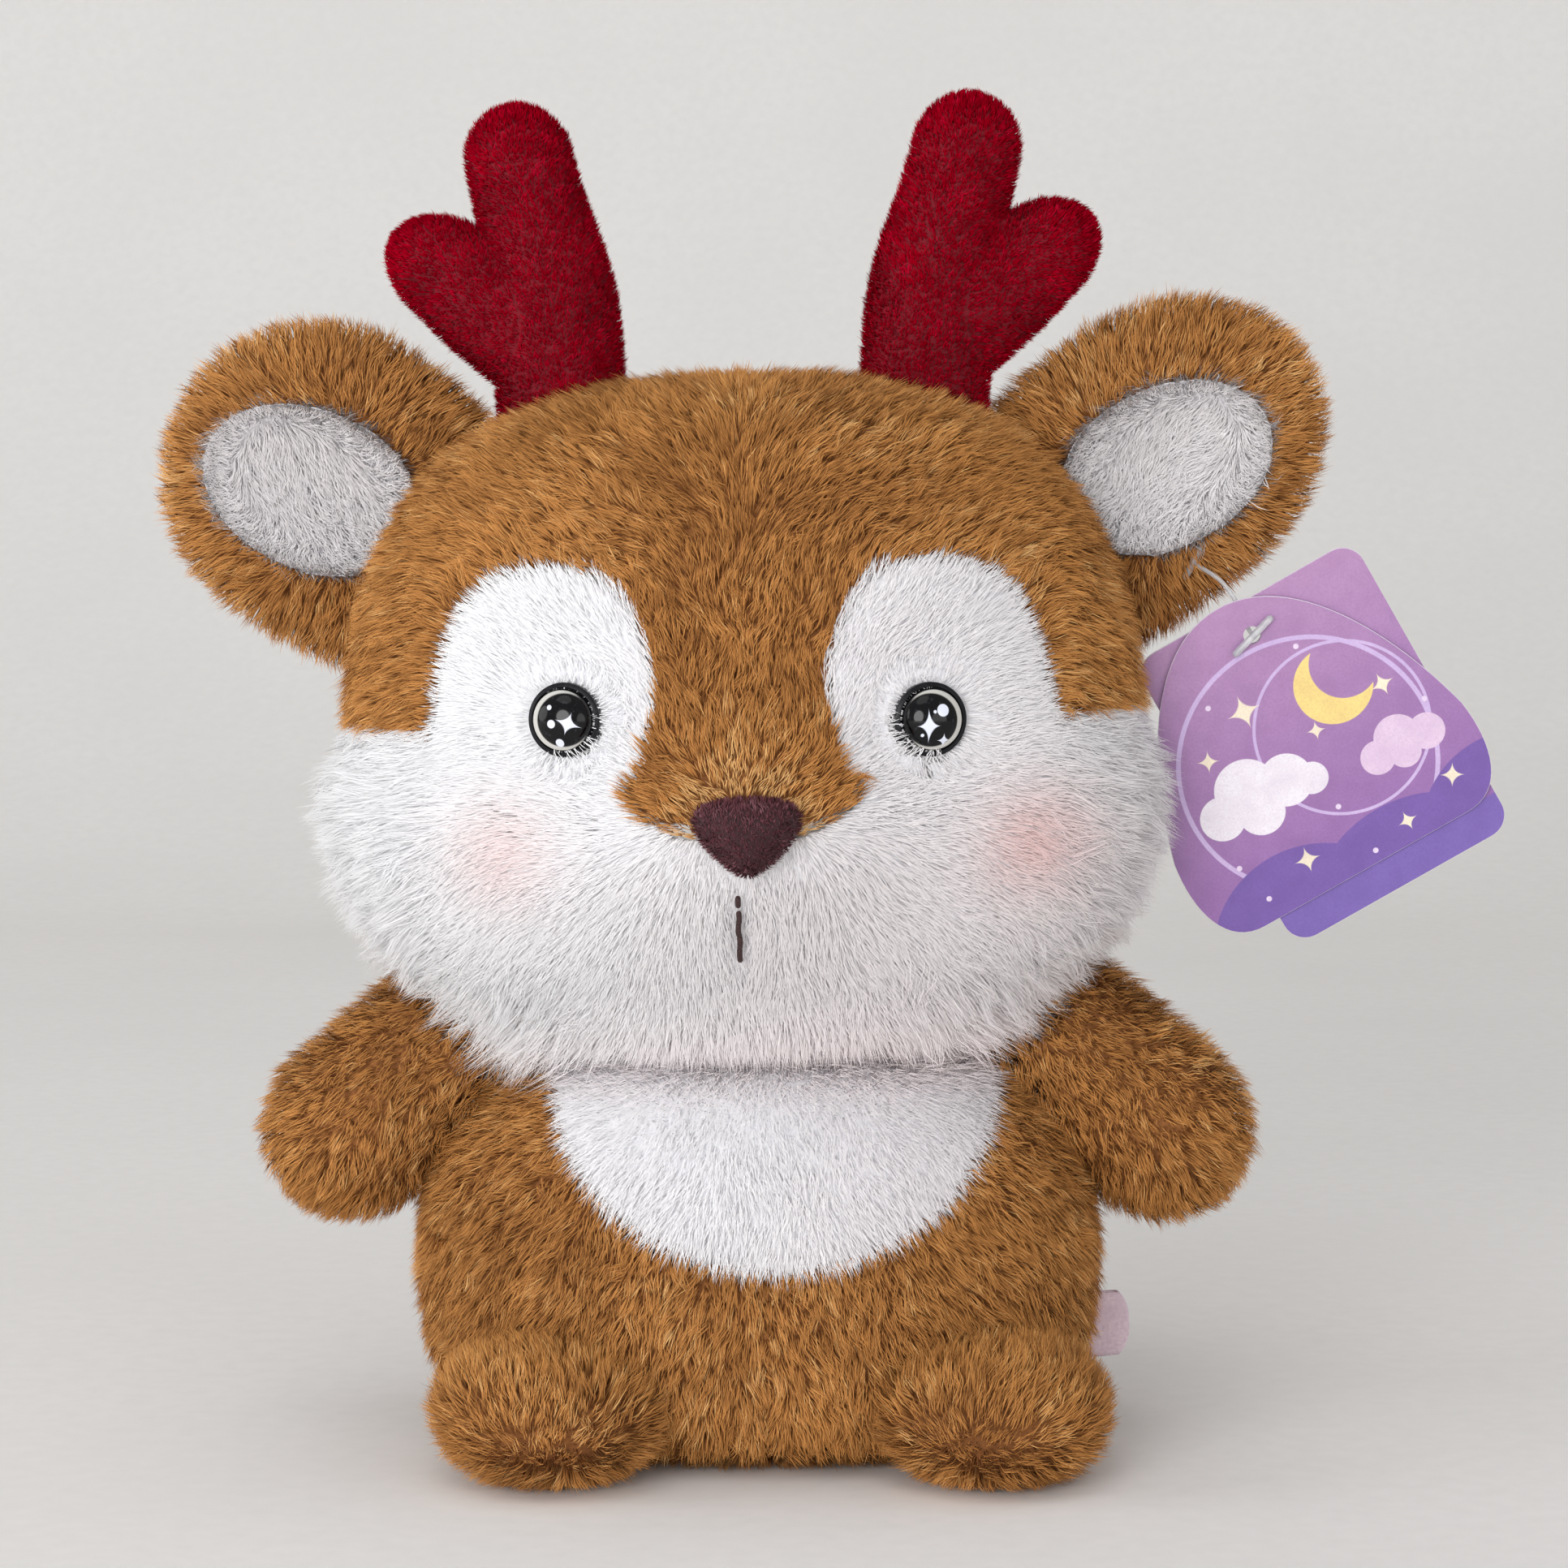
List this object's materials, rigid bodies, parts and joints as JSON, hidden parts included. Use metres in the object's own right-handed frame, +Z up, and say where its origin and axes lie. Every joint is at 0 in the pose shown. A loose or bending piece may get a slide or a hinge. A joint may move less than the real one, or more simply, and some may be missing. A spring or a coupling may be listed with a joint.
{
  "type": "stuffed animal",
  "caption": "Sitting plush fawn with bending ears, stuffed antlers, swinging arms, liftable feet, a head that turns and nods, and a swinging hang tag.",
  "frame": {"origin": "on the flat of the seat, where the body rests on the table", "axes": "+Z up, the fawn faces -Y, +X towards its left side"},
  "size_m": [0.2528, 0.1343, 0.2517],
  "materials": {
    "brown_fur": "short dense brown pile",
    "white_fur": "longer soft white pile",
    "ear_plush": "long soft greyish white pile",
    "red_velour": "very short crimson pile",
    "nose_velour": "smooth dark brown velour",
    "thread": "dark brown sewing thread",
    "stuffing": "polyester fibre filling",
    "ribbon": "thin satin ribbon",
    "eye_dome": "clear glossy dome over a black printed disc",
    "eye_back": "silver-white glossy plastic",
    "washer": "white moulded plastic",
    "card": "lavender printed card with a gloss film",
    "clear_plastic": "clear nylon"
  },
  "bodies": {
    "torso": {"body_skin": "brown_fur", "bib": "white_fur", "body_stuffing": "stuffing"},
    "neck": {"neck_stuffing": "stuffing"},
    "head": {"head_skin": "brown_fur", "face_panel": "white_fur", "head_stuffing": "stuffing", "nose": "nose_velour", "mouth_stitch": "thread", "eye_back_right": "eye_back", "eye_dome_right": "eye_dome", "eye_washer_right": "washer", "eye_back_left": "eye_back", "eye_dome_left": "eye_dome", "eye_washer_left": "washer"},
    "right_ear": {"ear_right": "brown_fur", "ear_lining_right": "ear_plush"},
    "left_ear": {"ear_left": "brown_fur", "ear_lining_left": "ear_plush", "tag_fastener": "clear_plastic"},
    "right_antler": {"antler_right": "red_velour"},
    "left_antler": {"antler_left": "red_velour"},
    "right_arm": {"arm_right": "brown_fur"},
    "left_arm": {"arm_left": "brown_fur"},
    "right_foot": {"foot_right": "brown_fur"},
    "left_foot": {"foot_left": "brown_fur"},
    "tail": {"tail": "brown_fur"},
    "label": {"care_label": "ribbon"},
    "front_leaf": {"tag_front_leaf": "card"},
    "back_leaf": {"tag_back_leaf": "card"}
  },
  "joints": [
    {"name": "head_turn", "type": "hinge", "parent": "torso", "child": "neck", "pos_m": [-0.001, 0, 0.076], "axis": [0, 0, 1], "range_deg": [-12, 12], "stiffness_Nm_per_rad": 0.3},
    {"name": "head_nod", "type": "hinge", "parent": "neck", "child": "head", "pos_m": [-0.001, 0, 0.076], "axis": [1, 0, 0], "range_deg": [-6, 6], "stiffness_Nm_per_rad": 1},
    {"name": "right_ear_bend", "type": "hinge", "parent": "head", "child": "right_ear", "pos_m": [-0.06895, 0.009, 0.17055], "axis": [-0.5664, 0, -0.8241], "range_deg": [-20, 20], "stiffness_Nm_per_rad": 0.1},
    {"name": "left_ear_bend", "type": "hinge", "parent": "head", "child": "left_ear", "pos_m": [0.06191, 0.009, 0.17398], "axis": [0.6088, 0, -0.7934], "range_deg": [-20, 20], "stiffness_Nm_per_rad": 0.1},
    {"name": "right_antler_tip", "type": "hinge", "parent": "head", "child": "right_antler", "pos_m": [-0.0381, 0, 0.19167], "axis": [0.9997, 0, 0.0262], "range_deg": [-15, 15], "stiffness_Nm_per_rad": 0.03},
    {"name": "left_antler_tip", "type": "hinge", "parent": "head", "child": "left_antler", "pos_m": [0.03228, 0, 0.19351], "axis": [0.9997, 0, 0.0262], "range_deg": [-15, 15], "stiffness_Nm_per_rad": 0.03},
    {"name": "right_arm_swing", "type": "hinge", "parent": "torso", "child": "right_arm", "pos_m": [-0.047, 0, 0.078], "axis": [-1, 0, 0], "range_deg": [-25, 25], "stiffness_Nm_per_rad": 0.05},
    {"name": "left_arm_swing", "type": "hinge", "parent": "torso", "child": "left_arm", "pos_m": [0.047, 0, 0.078], "axis": [-1, 0, 0], "range_deg": [-25, 25], "stiffness_Nm_per_rad": 0.05},
    {"name": "right_foot_lift", "type": "hinge", "parent": "torso", "child": "right_foot", "pos_m": [-0.03725, -0.024, 0.01], "axis": [-1, 0, 0], "range_deg": [0, 15], "stiffness_Nm_per_rad": 0.05},
    {"name": "left_foot_lift", "type": "hinge", "parent": "torso", "child": "left_foot", "pos_m": [0.04225, -0.024, 0.01], "axis": [-1, 0, 0], "range_deg": [0, 15], "stiffness_Nm_per_rad": 0.05},
    {"name": "tail_wag", "type": "hinge", "parent": "torso", "child": "tail", "pos_m": [0, 0.04371, 0.024], "axis": [0, 0, 1], "range_deg": [-15, 15], "stiffness_Nm_per_rad": 0.02},
    {"name": "label_fold", "type": "hinge", "parent": "torso", "child": "label", "pos_m": [0.05633, 0.0183, 0.0158], "axis": [0, 0, 1], "range_deg": [-30, 30], "stiffness_Nm_per_rad": 0.002},
    {"name": "tag_swing", "type": "hinge", "parent": "left_ear", "child": "front_leaf", "pos_m": [0.09257, -0.0025, 0.15107], "axis": [0.0036, -0.9903, -0.1391], "range_deg": [0, 35]},
    {"name": "tag_fan", "type": "hinge", "parent": "front_leaf", "child": "back_leaf", "pos_m": [0.09257, -0.0025, 0.15107], "axis": [0.0036, -0.9903, -0.1391], "range_deg": [0, 8]}
  ]
}
